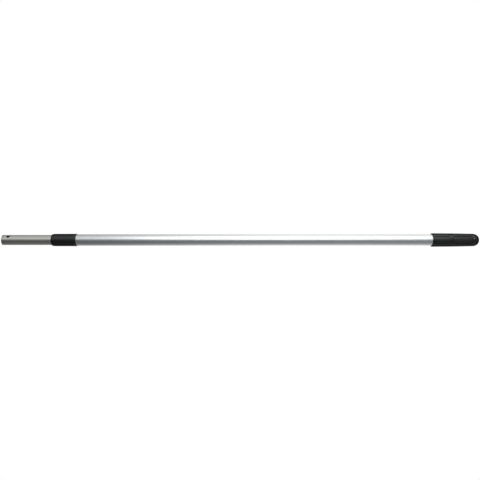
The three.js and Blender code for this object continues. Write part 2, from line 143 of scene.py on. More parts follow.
def bar(x, angle, r, start, end, ease=0):
    """A round bar across the pole, between two distances from its axis, its ends eased."""
    across = around(0, 1, angle + QUARTER)

    def place(distance, radius, turn):
        aside = math.cos(turn) * Vector((1, 0, 0)) + math.sin(turn) * across
        return around(x, distance, angle) + radius * aside

    return lathe(rounded([(start, 0, 0), (start, r, ease), (end, r, ease), (end, 0, 0)]), BAR_SIDES, place)


def mesh_object(name, bm):
    mesh = bpy.data.meshes.new(name)
    bm.to_mesh(mesh)
    bm.free()
    made = bpy.data.objects.new(name, mesh)
    bpy.context.scene.collection.objects.link(made)
    return made


def combined(bm, other, operation):
    """The result of a boolean between two bmeshes, which are used up."""
    base = mesh_object("base", bm)
    tool = mesh_object("tool", other)
    modifier = base.modifiers.new("combine", "BOOLEAN")
    modifier.operation = operation
    modifier.object = tool
    modifier.solver = "EXACT"
    result = bmesh.new()
    result.from_object(base, bpy.context.evaluated_depsgraph_get())
    for used in (base, tool):
        bpy.data.meshes.remove(used.data)
    return result


def piece(name, bm, material, body, slot, *nodes):
    """Finishes a bmesh as a smooth-shaded piece that rides on a body and stands for CAD nodes."""
    bmesh.ops.remove_doubles(bm, verts=bm.verts, dist=WELD)
    bmesh.ops.recalc_face_normals(bm, faces=bm.faces)
    bmesh.ops.scale(bm, verts=bm.verts, vec=Vector((MM, MM, MM)))
    for face in bm.faces:
        face.smooth = True
    for edge in bm.edges:
        edge.smooth = edge.calc_face_angle(0) < SHARP
    made = mesh_object(name, bm)
    made.data.materials.append(material)
    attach(made, body)
    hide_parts(*nodes)
    return made


# ---- Materials ----

class Look:
    """A node material, with the pole's own coordinates in metres as its pattern space."""

    def __init__(self, name):
        self.material = bpy.data.materials.new(name)
        self.material.use_nodes = True
        self.nodes = self.material.node_tree.nodes
        self.links = self.material.node_tree.links
        self.shader = self.nodes["Principled BSDF"]
        self.place = self.nodes.new("ShaderNodeTexCoord").outputs["Object"]

    def noise(self, scale, detail=3.0, roughness=0.5, stretch=(1, 1, 1)):
        """A cloudy pattern, with stretch its share of the scale along and across the pole."""
        mapping = self.nodes.new("ShaderNodeMapping")
        mapping.inputs["Scale"].default_value = stretch
        self.links.new(self.place, mapping.inputs["Vector"])
        node = self.nodes.new("ShaderNodeTexNoise")
        node.inputs["Scale"].default_value = scale
        node.inputs["Detail"].default_value = detail
        node.inputs["Roughness"].default_value = roughness
        self.links.new(mapping.outputs["Vector"], node.inputs["Vector"])
        return node.outputs["Fac"]

    def spread(self, value, low, high, start=0.3, end=0.7):
        """Maps a pattern's middle range onto low to high."""
        node = self.nodes.new("ShaderNodeMapRange")
        node.inputs["From Min"].default_value = start
        node.inputs["From Max"].default_value = end
        node.inputs["To Min"].default_value = low
        node.inputs["To Max"].default_value = high
        self.links.new(value, node.inputs["Value"])
        return node.outputs["Result"]

    def blend(self, factor, first, second):
        node = self.nodes.new("ShaderNodeMix")
        node.data_type = "RGBA"
        self.links.new(factor, node.inputs["Factor"])
        for socket, colour in ((node.inputs["A"], first), (node.inputs["B"], second)):
            self.feed(socket, colour)
        return node.outputs["Result"]

    def math(self, operation, *values):
        node = self.nodes.new("ShaderNodeMath")
        node.operation = operation
        for socket, value in zip(node.inputs, values):
            self.feed(socket, value)
        return node.outputs["Value"]

    def from_axis(self):
        """Distance from the pole's axis, in metres."""
        flat = self.nodes.new("ShaderNodeVectorMath")
        flat.operation = "MULTIPLY"
        flat.inputs[1].default_value = (0, 1, 1)
        self.links.new(self.place, flat.inputs[0])
        length = self.nodes.new("ShaderNodeVectorMath")
        length.operation = "LENGTH"
        self.links.new(flat.outputs["Vector"], length.inputs[0])
        return length.outputs["Value"]

    def slant(self):
        """From 0 where the surface faces the eye to 1 where it turns away."""
        return self.nodes.new("ShaderNodeLayerWeight").outputs["Facing"]

    def near(self, spot, radius):
        """1 within a radius of a spot, both in metres."""
        node = self.nodes.new("ShaderNodeVectorMath")
        node.operation = "DISTANCE"
        self.links.new(self.place, node.inputs[0])
        node.inputs[1].default_value = spot
        return self.spread(node.outputs["Value"], 1, 0, 0.9 * radius, radius)

    def sharp_edges(self):
        """From 0 on flat stretches to 1 on the mesh's sharpest outward edges."""
        pointiness = self.nodes.new("ShaderNodeNewGeometry").outputs["Pointiness"]
        return self.spread(pointiness, 0, 1, 0.52, 0.62)

    def bump(self, height, depth, strength, under=None):
        """Raises the surface by a pattern, depth in metres."""
        node = self.nodes.new("ShaderNodeBump")
        node.inputs["Strength"].default_value = strength
        node.inputs["Distance"].default_value = depth
        self.links.new(height, node.inputs["Height"])
        if under is not None:
            self.links.new(under, node.inputs["Normal"])
        return node.outputs["Normal"]

    def feed(self, socket, value):
        if isinstance(value, bpy.types.NodeSocket):
            self.links.new(value, socket)
        elif isinstance(value, tuple):
            socket.default_value = (*value, 1)
        else:
            socket.default_value = value

    def set(self, **values):
        """Feeds the shader's inputs, named with _ for a space."""
        for name, value in values.items():
            self.feed(self.shader.inputs[name.replace("_", " ")], value)
        return self.material


def drawn_aluminium(name, light, dark, smooth, rough, bore):
    """Anodised drawn tube: fine lines along the pole, a cloudy oxide film, and a dull bore painted near black
    as painted shade, out into the inner part of its holes' walls.
    """
    look = Look(name)
    lines = look.noise(1, 4, 0.6, (6, 2600, 2600))
    broad_lines = look.noise(1, 2, 0.5, (2, 420, 420))
    cloud = look.noise(26, 4, 0.6, (0.5, 1, 1))
    colour = look.blend(look.spread(cloud, 0, 1, 0.25, 0.75), dark, light)
    colour = look.blend(look.spread(lines, 0.0, 0.22), colour, tuple(0.8 * c for c in dark))
    roughness = look.math("ADD", look.spread(lines, smooth, rough), look.spread(broad_lines, -0.02, 0.03))
    # Painted shade: the bore and the inner part of each hole's wall are coloured near black, fading out
    # between the BORE_SHADE depths.
    inside = look.spread(look.from_axis(), 1, 0, *((bore + depth) * MM for depth in BORE_SHADE))
    colour = look.blend(inside, colour, PAINTED_BORE_SHADE)
    roughness = look.math("MAXIMUM", roughness, look.math("MULTIPLY", inside, 0.6))
    normal = look.bump(lines, 0.000006, 0.5)
    normal = look.bump(broad_lines, 0.00001, 0.5, normal)
    return look.set(Base_Color=colour, Metallic=1.0, Roughness=roughness, Normal=normal)


def moulded_plastic(name, colour, smooth, rough, grain, depth, glint_at=None):
    """Black moulding: dull at a slant, with slow changes of sheen, polished edges painted lighter as a
    painted highlight, perhaps a painted glint at one spot.
    """
    look = Look(name)
    fine = look.noise(grain, 3, 0.6)
    slow = look.noise(55, 3, 0.5)
    edges = look.sharp_edges()
    lighter = tuple(2 * c + 0.002 for c in colour)
    tone = look.blend(look.spread(slow, 0, 1), colour, tuple(1.25 * c for c in colour))
    # Painted highlight: the sharpest edges are coloured lighter, standing in for glints on the lips; their
    # lower roughness below is polish.
    tone = look.blend(look.math("MULTIPLY", edges, 0.6), tone, lighter)
    # Painted glint: a light grey dot at the given spot, on the grip's pip.
    if glint_at:
        tone = look.blend(look.near(*glint_at), tone, PIP_GLINT_COLOUR)
    roughness = look.math("ADD", look.spread(slow, smooth, rough), look.math("MULTIPLY", edges, -0.06))
    look.set(Specular_IOR_Level=look.spread(look.slant(), *SHEEN, *SHEEN_FALLS))
    return look.set(Base_Color=tone, Roughness=roughness, Normal=look.bump(fine, depth, 0.6), IOR=1.5)


def plain_nylon(name, colour):
    """Moulded nylon: slightly clouded and waxy, with light tool marks round the pole."""
    look = Look(name)
    cloud = look.noise(120, 3, 0.5)
    marks = look.noise(1, 2, 0.5, (3000, 60, 60))
    tone = look.blend(look.spread(cloud, 0, 1), colour, tuple(0.9 * c for c in colour))
    normal = look.bump(marks, 0.00001, 0.4)
    normal = look.bump(look.noise(1500, 2), 0.00001, 0.3, normal)
    roughness = look.spread(cloud, 0.36, 0.48)
    look.set(Subsurface_Weight=0.12, Subsurface_Scale=0.001)
    return look.set(Base_Color=tone, Roughness=roughness, Normal=normal)


def zinc_plate(name):
    """Bright zinc plating over turned steel: faint blue and straw clouds, and turning marks."""
    look = Look(name)
    cloud = look.noise(210, 4, 0.6)
    tint = look.blend(look.spread(cloud, 0, 1), (0.58, 0.62, 0.66), (0.66, 0.63, 0.56))
    marks = look.noise(1, 3, 0.6, (5200, 90, 90))
    roughness = look.spread(marks, 0.24, 0.4)
    return look.set(Base_Color=tint, Metallic=1.0, Roughness=roughness, Normal=look.bump(marks, 0.00001, 0.5))


def band_rubber(name):
    look = Look(name)
    bloom = look.noise(300, 4, 0.6)
    tone = look.blend(look.spread(bloom, 0, 1), (0.012, 0.012, 0.012), (0.03, 0.03, 0.029))
    normal = look.bump(bloom, 0.00002, 0.5)
    return look.set(Base_Color=tone, Roughness=look.spread(bloom, 0.6, 0.8), Normal=normal)


OUTER_BORE = reach("outer_tube")[2] - OUTER_WALL
INNER_BORE = reach("inner_tube")[2] - INNER_WALL
# near-black painted shade for the bores and the inner part of the holes' walls
PAINTED_BORE_SHADE = (0.02, 0.019, 0.018)
BORE_SHADE = (0.3, 0.6)  # depths into a tube's wall between which the bore's painted shade gives way
SHEEN = (0.7, 0.04)  # a moulding's specular level, facing the eye and turned away
SHEEN_FALLS = (0.3, 0.42)  # the stretch of slant over which it falls
# light grey of the painted glint on the grip's pip
PIP_GLINT_COLOUR = (0.3, 0.3, 0.3)
BRIGHT = ((0.87, 0.88, 0.89), (0.81, 0.82, 0.83))
GREY = ((0.75, 0.75, 0.71), (0.65, 0.65, 0.61))
bright_aluminium = drawn_aluminium("bright_aluminium", *BRIGHT, 0.3, 0.4, OUTER_BORE)
grey_aluminium = drawn_aluminium("grey_aluminium", *GREY, 0.3, 0.42, INNER_BORE)
collar_plastic = moulded_plastic("collar_plastic", (0.002, 0.002, 0.0022), 0.29, 0.36, 5200, 0.00001)
pad_rubber = moulded_plastic("pad_rubber", (0.002, 0.002, 0.0021), 0.28, 0.38, 3000, 0.000014)
white_nylon = plain_nylon("white_nylon", (0.74, 0.72, 0.66))
grey_nylon = plain_nylon("grey_nylon", (0.085, 0.09, 0.1))
zinc_steel = zinc_plate("zinc_steel")
black_rubber = band_rubber("black_rubber")


# ---- Tubes ----

TOOL_HOLE_FROM_TIP = 14
TOOL_HOLE_R = 3.75
TOOL_HOLE_ANGLE = math.radians(47)
TUBE_LIP = 0.22  # easing of a tube's ends and of the rims of its holes
LUG_FROM_MOUTH = 16  # the collar's lugs, behind the outer tube's mouth
LUG_R = 2.0
LUG_HEIGHT = 1.4
LUG_ANGLES = (0, math.pi)
PIN_HOLE_R = 1.6
BESIDE_HOLE = (-1.6, -1.2, -0.6, 0, 0.6, 1.2, 1.6)  # rings of mesh near a hole, in its radii from its middle
TUBE_LENGTHS = 12  # even lengths that a tube's mesh is cut into


def bent_punch(x, angle, hole_r, bore, radius):
    """A punch bent to a tube's curve, flaring at the tube's outer face so that the hole's rim is eased."""
    turns = [QUARTER * k / 4 for k in range(5)]
    levels = [(bore - PAST, hole_r)]
    levels += [(radius - TUBE_LIP * (1 - math.sin(t)), hole_r + TUBE_LIP * (1 - math.cos(t))) for t in turns]
    levels.append((radius + PAST, hole_r + TUBE_LIP))

    def place(r, half, turn):
        return around(x + half * math.cos(turn), r, angle + half * math.sin(turn) / radius)

    return lathe([(bore - PAST, 0)] + levels + [(radius + PAST, 0)], FINE, place)


def tube(x0, x1, bore, radius, holes):
    """A tube with eased ends, drilled at each (x, angle, hole radius)."""
    corners = ((x0, bore), (x0, radius), (x1, radius), (x1, bore))
    profile = rounded([(x, r, TUBE_LIP) for x, r in corners])
    near = [x + step * hole_r for x, _, hole_r in holes for step in BESIDE_HOLE]
    bm = lathe(stations(profile, near + evenly(x0, x1, TUBE_LENGTHS)))
    for x, angle, hole_r in holes:
        bm = combined(bm, bent_punch(x, angle, hole_r, bore, radius), "DIFFERENCE")
    return bm


def build_tubes():
    x0, x1, radius = reach("outer_tube")
    holes = [(x0 + LUG_FROM_MOUTH, angle, LUG_R + 2 * GAP) for angle in LUG_ANGLES]
    bm = tube(x0, x1, radius - OUTER_WALL, radius, holes)
    piece("outer_tube_drawn", bm, bright_aluminium, "outer_section", "outer_aluminium", "outer_tube")
    x0, x1, radius = reach("inner_tube")
    pin_x = sum(reach("anchor_pin")[:2]) / 2
    holes = [(x0 + TOOL_HOLE_FROM_TIP, TOOL_HOLE_ANGLE, TOOL_HOLE_R)]
    holes += [(pin_x, angle, PIN_HOLE_R) for angle in (QUARTER, -QUARTER)]
    bm = tube(x0, x1, radius - INNER_WALL, radius, holes)
    piece("inner_tube_drawn", bm, grey_aluminium, "inner_section", "inner_aluminium", "inner_tube")


# ---- Collar ----

COLLAR_DRAFT = 0.1  # its front is this much slimmer
NOSE_LENGTH = 6  # its front edge is rounded like an ellipse
NOSE_HEIGHT = 1.9
NOSE_STEPS = 12
COLLAR_LENGTHS = 6


def nose_corners(x0, radius):
    """The collar's front edge, from its face to its side."""
    corners = []
    for k in range(NOSE_STEPS + 1):
        turn = QUARTER * k / NOSE_STEPS
        along = x0 + NOSE_LENGTH * (1 - math.cos(turn))
        corners.append((along, radius - NOSE_HEIGHT * (1 - math.sin(turn)), 0))
    return corners


def build_collar():
    """The ferrule over the outer tube's mouth, with two lugs that snap into the tube."""
    x0, x1, radius = reach("collar")
    mouth, _, tube_r = reach("outer_tube")
    nose = reach("inner_tube")[2] + RUNNING_GAP
    socket = tube_r + GAP
    shoulder = reach("guide_bush")[0] - GAP
    profile = rounded([
        (x0, nose, 0.1), *nose_corners(x0, radius - COLLAR_DRAFT), (x1, radius, 0.35), (x1, socket, 0.25),
        (shoulder, socket, 0), (shoulder, nose, 0.1),
    ], 6)
    bm = lathe(stations(profile, evenly(x0, x1, COLLAR_LENGTHS)))
    root = (radius + socket) / 2
    for angle in LUG_ANGLES:
        lug = bar(mouth + LUG_FROM_MOUTH, angle, LUG_R, root, socket - LUG_HEIGHT / 2, 0.2)
        bm = combined(bm, lug, "UNION")
    piece("collar_moulded", bm, collar_plastic, "outer_section", "satin_black_plastic", "collar")


# ---- Grip ----

TAPER = 1.05  # lost from the grip's radius by TAPER_SPAN
TAPER_SPAN = 86
TAPER_POWER = 1.8
DOME = 14.5  # length of the rounded end
DOME_POWER = 2.3
SOCKET_DEPTH = 72
END_HOLLOW_R = 8.5
END_WALL = 6
MOUTH_EDGE = 0.4
PAD_SPANS = {"short": (2.4, 37.6), "long": (43.4, 85.4)}  # start and end, from the grip's mouth
PAD_THICKNESS = 0.9
PAD_CORNER = 6.2
PAD_GROOVE = 1.0
PAD_EDGE = 0.5  # rounding of a pad's edge
LIP = 0.45  # rounding of its pocket's rim
FLOOR_FILLET = 0.2
MARGIN = 0.3  # from the rim's rounding to the plain grid round it
LOOP_STEP = 0.9  # between the loops that close a pad's face
EDGE_STEPS = 5  # in a rounded edge
CELL_LENGTH = 2.6  # of the plain grid beside a pad
DOME_STEPS = 18
CORNER_CELLS = 8  # grid cells beside each half of a corner
WIDE_CELLS = 4  # and along the straight part of a pad's end
SIDES = ("front", "top", "back", "bottom")
PIP_FROM_MOUTH = 88.8
PIP_ANGLE = math.radians(13)
PIP_R = 1.1
PIP_HEIGHT = 0.4
PIP_ROOT = 1.6  # how far its foot is sunk into the grip
PIP_EDGE = 0.3

grip_x, grip_end, grip_r = reach("grip_body")
grip_length = grip_end - grip_x
dome_from = grip_length - DOME
pad_half = grip_r / 2
pocket_reach = PAD_GROOVE + LIP + MARGIN


def grip_radius(distance):
    tapered = grip_r - TAPER * (min(distance, dome_from) / TAPER_SPAN) ** TAPER_POWER
    into = min(max(distance - dome_from, 0) / DOME, 1)
    return tapered * (1 - into ** DOME_POWER) ** (1 / DOME_POWER)


def on_grip(distance, offset, depth, turn):
    """A point sunk into the grip, at a distance from its mouth and an offset across the side at turn."""
    r = grip_radius(distance) - depth
    return around(grip_x + distance, r, turn + math.asin(offset / r))


def side_lines(low, high, cells):
    """Grid lines along one side of a pad's window: fine beside both corners, and even between them."""
    corner = PAD_CORNER + pocket_reach
    start = evenly(low, low + corner, CORNER_CELLS)
    middle = evenly(low + corner, high - corner, cells)
    end = evenly(high - corner, high, CORNER_CELLS)
    return start + middle + end + [high]


def long_cells(span):
    return round((span[1] - span[0]) / CELL_LENGTH)


def window_lines(span):
    """Grid lines along and across the stretch of grip that a pad and its pocket stand in."""
    lengthwise = side_lines(span[0] - pocket_reach, span[1] + pocket_reach, long_cells(span))
    return lengthwise, side_lines(-pad_half - pocket_reach, pad_half + pocket_reach, WIDE_CELLS)


def window_border(span):
    """The window's rim as (lengthwise, crosswise) line numbers, in the order of the outline's points."""
    long, wide = (len(lines) - 1 for lines in window_lines(span))
    rim = [(long, k) for k in range(wide)]
    rim += [(long - k, wide) for k in range(long)]
    rim += [(0, wide - k) for k in range(wide)]
    rim += [(k, 0) for k in range(long)]
    return rim[-CORNER_CELLS:] + rim[:-CORNER_CELLS]


def outline(span, grow):
    """A pad's outline grown by a distance, as (distance, offset) points, one for each of the window's rim."""
    corner = max(PAD_CORNER + grow, 0)
    reach_x = (span[1] - span[0]) / 2 + grow - corner
    reach_y = pad_half + grow - corner
    arcs = []
    for k, (along, across) in enumerate(((1, -1), (1, 1), (-1, 1), (-1, -1))):
        centre = Vector((sum(span) / 2 + along * reach_x, across * reach_y))
        angles = [QUARTER * (k - 1 + step / (2 * CORNER_CELLS)) for step in range(2 * CORNER_CELLS + 1)]
        arcs.append([centre + corner * Vector((math.cos(a), math.sin(a))) for a in angles])
    points = []
    for k, bend in enumerate(arcs):
        cells = long_cells(span) if k % 2 else WIDE_CELLS
        following = arcs[(k + 1) % 4][0]
        points += bend + [bend[-1].lerp(following, step / cells) for step in range(1, cells)]
    return points


def edge_arc(grow, depth, radius, start, end):
    """(grow, depth) pairs round an edge about a centre. Angle 0 points outwards, a quarter turn down."""
    angles = [start + (end - start) * k / EDGE_STEPS for k in range(EDGE_STEPS + 1)]
    return [(grow + radius * math.cos(a), depth + radius * math.sin(a)) for a in angles]


def inward(start):
    """Growths from a start to the pad's middle line."""
    count = math.ceil((start + pad_half) / LOOP_STEP)
    return [start - (start + pad_half) * k / count for k in range(1, count + 1)]


def pad_loop(bm, span, grow, depth, turn):
    return [bm.verts.new(on_grip(*point, depth, turn)) for point in outline(span, grow)]


def add_pocket(bm, span, rim, turn):
    """The pocket for one pad: an eased rim, a wall and a filleted floor, from the window's rim inwards."""
    floor = PAD_THICKNESS + GAP
    steps = edge_arc(PAD_GROOVE + LIP, LIP, LIP, -QUARTER, -2 * QUARTER)
    steps += edge_arc(PAD_GROOVE - FLOOR_FILLET, floor - FLOOR_FILLET, FLOOR_FILLET, 0, QUARTER)
    steps += [(grow, floor) for grow in inward(PAD_GROOVE - FLOOR_FILLET)]
    last = rim
    for grow, depth in steps:
        loop = pad_loop(bm, span, grow, depth, turn)
        bridge(bm, last, loop)
        last = loop


pip_spot = around(grip_x + PIP_FROM_MOUTH, grip_radius(PIP_FROM_MOUTH) + PIP_HEIGHT, PIP_ANGLE) * MM
GRIP_BLACK = (0.0015, 0.0015, 0.0017)
# the last argument places the painted glint on the pip
grip_plastic = moulded_plastic("grip_plastic", GRIP_BLACK, 0.25, 0.33, 4200, 0.00001, (pip_spot, PIP_R * MM))


def grip_turns(distance):
    """Angles of the grid's lines round the grip: those of every side's windows, and one between sides."""
    r = grip_radius(min(distance, dome_from))
    turns = [math.asin(offset / r) for offset in window_lines(PAD_SPANS["short"])[1]]
    turns.append(QUARTER / 2)
    return [side * QUARTER + turn for side in range(len(SIDES)) for turn in turns]


def grip_ring(bm, distance, r):
    if r == 0:
        return [bm.verts.new(around(grip_x + distance, 0, 0))]
    return [bm.verts.new(around(grip_x + distance, r, turn)) for turn in grip_turns(distance)]


def grip_stations():
    """Places of the skin's rings, from the mouth's eased edge to just short of the dome's tip."""
    along = [MOUTH_EDGE * (1 - math.cos(QUARTER * k / EDGE_STEPS)) for k in range(EDGE_STEPS)]
    along.append(MOUTH_EDGE)
    for span in PAD_SPANS.values():
        along += window_lines(span)[0]
    turns = evenly(0, QUARTER, DOME_STEPS)
    return along + [dome_from + DOME * math.sin(turn) ** (2 / DOME_POWER) for turn in turns]


def skin_radius(distance):
    """The grip's radius with the edge of its mouth eased."""
    sunk = max(MOUTH_EDGE - distance, 0)
    return grip_radius(distance) - MOUTH_EDGE + math.sqrt(MOUTH_EDGE ** 2 - sunk ** 2)


def add_skin(bm):
    """The grip's outer skin with its pockets. Returns its first and last rings."""
    along = grip_stations()
    rings = [grip_ring(bm, distance, skin_radius(distance)) for distance in along]
    per_side = len(rings[0]) // len(SIDES)
    pocket_rows = set()
    for span in PAD_SPANS.values():
        lengthwise = window_lines(span)[0]
        first = along.index(lengthwise[0])
        pocket_rows |= set(range(first, first + len(lengthwise) - 1))
        for side in range(len(SIDES)):
            rim = [rings[first + i][side * per_side + j] for i, j in window_border(span)]
            add_pocket(bm, span, rim, side * QUARTER)
    for row, (low, high) in enumerate(zip(rings, rings[1:])):
        for i in range(len(low)):
            if row not in pocket_rows or i % per_side >= per_side - 2:
                j = (i + 1) % len(low)
                bm.faces.new((low[i], low[j], high[j], high[i]))
    return rings[0], rings[-1]


def build_grip():
    bm = bmesh.new()
    first, last = add_skin(bm)
    bridge(bm, last, grip_ring(bm, grip_length, 0))
    socket = reach("outer_tube")[2] + GAP
    hollow_end = grip_length - END_WALL
    for distance, r in (
        (0, socket + MOUTH_EDGE), (MOUTH_EDGE, socket), (SOCKET_DEPTH, socket),
        (SOCKET_DEPTH, END_HOLLOW_R), (hollow_end, END_HOLLOW_R), (hollow_end, 0),
    ):
        ring = grip_ring(bm, distance, r)
        bridge(bm, first, ring)
        first = ring
    bmesh.ops.remove_doubles(bm, verts=bm.verts, dist=WELD)
    bmesh.ops.recalc_face_normals(bm, faces=bm.faces)
    skin = grip_radius(PIP_FROM_MOUTH)
    pip = bar(grip_x + PIP_FROM_MOUTH, PIP_ANGLE, PIP_R, skin - PIP_ROOT, skin + PIP_HEIGHT, PIP_EDGE)
    bm = combined(bm, pip, "UNION")
    piece("grip_moulded", bm, grip_plastic, "outer_section", "grip_plastic", "grip_body")


def build_pad(side, length):
    """A soft inlay with an eased edge, from the middle of its underside round to the middle of its face."""
    steps = [(grow, PAD_THICKNESS) for grow in reversed(inward(0))]
    steps.append((0, PAD_THICKNESS))
    steps += edge_arc(-PAD_EDGE, PAD_EDGE, PAD_EDGE, 0, -QUARTER)
    steps += [(grow, 0) for grow in inward(-PAD_EDGE)]
    bm = bmesh.new()
    turn = SIDES.index(side) * QUARTER
    loops = [pad_loop(bm, PAD_SPANS[length], grow, depth, turn) for grow, depth in steps]
    for low, high in zip(loops, loops[1:]):
        bridge(bm, low, high)
    name = f"{side}_{length}"
    piece(f"pad_{name}", bm, pad_rubber, "outer_section", "grip_pad_rubber", f"grip_pad_{name}")


# ---- Inner parts ----

BUSH_PLAY = 0.12  # round the inner tube
BUSH_FIT = 0.08  # inside the outer tube
BUSH_FLANGE = 1.2
CUP_WALL = 2.1
CUP_FLOOR = 1.6
PLUG_FIT = 0.12  # inside the inner tube
PLUG_FLANGE = 4
HEAD_POCKET = 20  # depth of the anchor plug's pocket for the spindle's head
HEAD_R = 7.2  # hexagon, across corners
HEAD_PLAY = 0.25
HEAD_LENGTH = 6.5
SHANK_R = 5
SHANK_PLAY = 0.15
THREAD_CREST = 4.9
THREAD_ROOT = 3.7
THREAD_PITCH = 4
THREAD_STEPS = 32  # for each turn
THREAD_FOOT_HALF = 1.25  # half width of the ridge where it meets the core
THREAD_CREST_HALF = 0.6
THREAD_SINK = 0.4  # how far the foot of the ridge is sunk into the core
THREAD_GAP = 0.25  # between the spindle's thread and the nut's
LAND_R = 4.6  # the collar turned on the spindle's end, behind the clip
NECK = 1.4  # bare neck that the clip snaps over
HUB_RIM = 3
NUT_RIM = 7
CONE_ROOT = 9.4  # radius of both cones at their wide ends
CONE_LENGTH = 11
CONE_SLOPE = math.tan(math.radians(15))
CONE_TIP = CONE_ROOT - CONE_LENGTH * CONE_SLOPE
SHOE_INSET = 1.2  # from the rims to the shoes
SEAT_GAP = 0.12  # between a shoe and the cones
SHOE_R = 11.29
GROOVE_DEPTH = 1.9  # for the band, round the shoes
GROOVE_HALF = 1.35
BAND_SECTION_R = 0.65
BAND_SIDES = 16
FINGER_HALF = 2  # half the width of the hub's guide fingers
FINGER_ROOM = FINGER_HALF + RUNNING_GAP
SLOT_ROOM = 2.5  # left in the nut's slots for the fingers
THIRD = TURN / 3
CLIP_HALF_OPENING = math.radians(25)
ARC_STEPS = 16


def turned(*corners, sides=FINE):
    """A turned form from (x, r, easing) corners."""
    return lathe(rounded(corners), sides)


def drill(bm, x0, x1, r):
    """Cuts a round hole along the axis."""
    return combined(bm, turned((x0, 0, 0), (x0, r, 0), (x1, r, 0), (x1, 0, 0)), "DIFFERENCE")


def hexagon(x0, x1, r):
    """A hexagonal bar with a corner at its top."""
    def place(along, radius, turn):
        return around(along, radius, turn + QUARTER)

    return lathe([(x0, 0), (x0, r), (x1, r), (x1, 0)], 6, place)


def arc_points(r, start, end):
    return [(r, start + (end - start) * k / ARC_STEPS) for k in range(ARC_STEPS + 1)]


def extruded(section, x0, x1):
    """A straight bar along the pole, its section a loop of (r, angle) points."""
    bm = bmesh.new()
    low, high = ([bm.verts.new(around(x, *point)) for point in section] for x in (x0, x1))
    bridge(bm, low, high)
    bm.faces.new(low)
    bm.faces.new(high)
    bmesh.ops.recalc_face_normals(bm, faces=bm.faces)
    return bm


def finger(half, bore, r, x0, x1, angle):
    """A bar with parallel sides and curved faces, at an angle round the pole."""
    outer, inner = math.asin(half / r), math.asin(half / bore)
    section = arc_points(r, angle - outer, angle + outer) + arc_points(bore, angle + inner, angle - inner)
    return extruded(section, x0, x1)


def thread_ridge(x0, x1, growth):
    """A right-hand ridge wound round the pole's axis. Its growth fattens it to cut a nut."""
    foot = (THREAD_FOOT_HALF + growth, THREAD_ROOT - THREAD_SINK)
    crest = (THREAD_CREST_HALF + growth, THREAD_CREST + growth)
    bm = bmesh.new()
    loops = []
    for k in range(round((x1 - x0) / THREAD_PITCH * THREAD_STEPS) + 1):
        x = x0 + THREAD_PITCH * k / THREAD_STEPS
        turn = math.pi - TURN * k / THREAD_STEPS
        section = [(-foot[0], foot[1]), (-crest[0], crest[1]), crest, foot]
        loops.append([bm.verts.new(around(x + along, r, turn)) for along, r in section])
    for low, high in zip(loops, loops[1:]):
        bridge(bm, low, high)
    bm.faces.new(loops[0])
    bm.faces.new(loops[-1])
    bmesh.ops.recalc_face_normals(bm, faces=bm.faces)
    return bm


def build_bush():
    x0, x1, rim = reach("guide_bush")
    bore = reach("inner_tube")[2] + BUSH_PLAY
    sleeve = OUTER_BORE - BUSH_FIT
    flange = x0 + BUSH_FLANGE
    bm = turned(
        (x0, bore, 0.12), (x0, rim, 0.2), (flange, rim, 0.2), (flange, sleeve, 0.05),
        (x1, sleeve, 0.15), (x1, bore, 0.15), sides=AROUND,
    )
    piece("bush_moulded", bm, white_nylon, "outer_section", "white_nylon", "guide_bush")


def build_end_plug():
    """The cup in the rear of the outer tube."""
    x0, x1, rim = reach("tube_end_plug")
    cup = OUTER_BORE - GAP
    hollow = cup - CUP_WALL
    floor = x1 - CUP_FLOOR
    bm = turned(
        (x0, hollow, 0.3), (x0, cup, 0.5), (floor, cup, 0.05), (floor, rim, 0.2),
        (x1, rim, 0.4), (x1, 0, 0), (floor, 0, 0), (floor, hollow, 0.8), sides=AROUND,
    )
    piece("end_plug_moulded", bm, grey_nylon, "outer_section", "grey_nylon", "tube_end_plug")


def build_anchor():
    """The plug in the end of the inner tube, and the pin through both."""
    x0, x1, rim = reach("anchor_plug")
    fit = INNER_BORE - PLUG_FIT
    flange = x1 - PLUG_FLANGE
    pin_x = sum(reach("anchor_pin")[:2]) / 2
    half = reach("anchor_pin")[2]
    bm = turned(
        (x0, 0, 0), (x0, fit, 0.5), (flange, fit, 0.1), (flange, rim, 0.4), (x1, rim, 0.4), (x1, 0, 0),
    )
    pocket = hexagon(x0 - PAST, x0 + HEAD_POCKET + GAP, HEAD_R + HEAD_PLAY)
    bm = combined(bm, pocket, "DIFFERENCE")
    bm = drill(bm, x0 + PAST, x1 + PAST, SHANK_R + SHANK_PLAY)
    bm = combined(bm, bar(pin_x, QUARTER, PIN_HOLE_R, -INNER_BORE - PAST, INNER_BORE + PAST), "DIFFERENCE")
    piece("anchor_plug_moulded", bm, grey_nylon, "inner_section", "grey_nylon", "anchor_plug")
    pin = bar(pin_x, QUARTER, PIN_HOLE_R - GAP, -half, half, 0.3)
    piece("anchor_pin_turned", pin, zinc_steel, "inner_section", "zinc_steel", "anchor_pin")


def build_spindle():
    """The lock's spindle: a hexagonal head, a shank, a thread, and a neck for the clip."""
    x0, x1, _ = reach("lock_spindle")
    head_end = x0 + HEAD_LENGTH
    thread = reach("cone_nut")[0] - THREAD_PITCH
    land = (sum(reach("retaining_clip")[:2]) + NECK) / 2
    round_head = turned((x0, 0, 0), (x0, HEAD_R, 0.9), (head_end, HEAD_R, 0.9), (head_end, 0, 0))
    head = combined(hexagon(x0, head_end, HEAD_R), round_head, "INTERSECT")
    start = head_end - PAST
    bm = turned(
        (start, 0, 0), (start, SHANK_R, 0), (thread + PAST, SHANK_R, 0.3), (thread + PAST, THREAD_ROOT, 0.1),
        (land, THREAD_ROOT, 0.05), (land, LAND_R, 0.15), (x1, LAND_R, 0.4), (x1, 0, 0),
    )
    ridge_end = land - NECK - THREAD_FOOT_HALF - RUNNING_GAP
    bm = combined(bm, thread_ridge(thread - THREAD_PITCH, ridge_end, 0), "UNION")
    bm = combined(bm, head, "UNION")
    piece("spindle_turned", bm, zinc_steel, "inner_section", "zinc_steel", "lock_spindle")


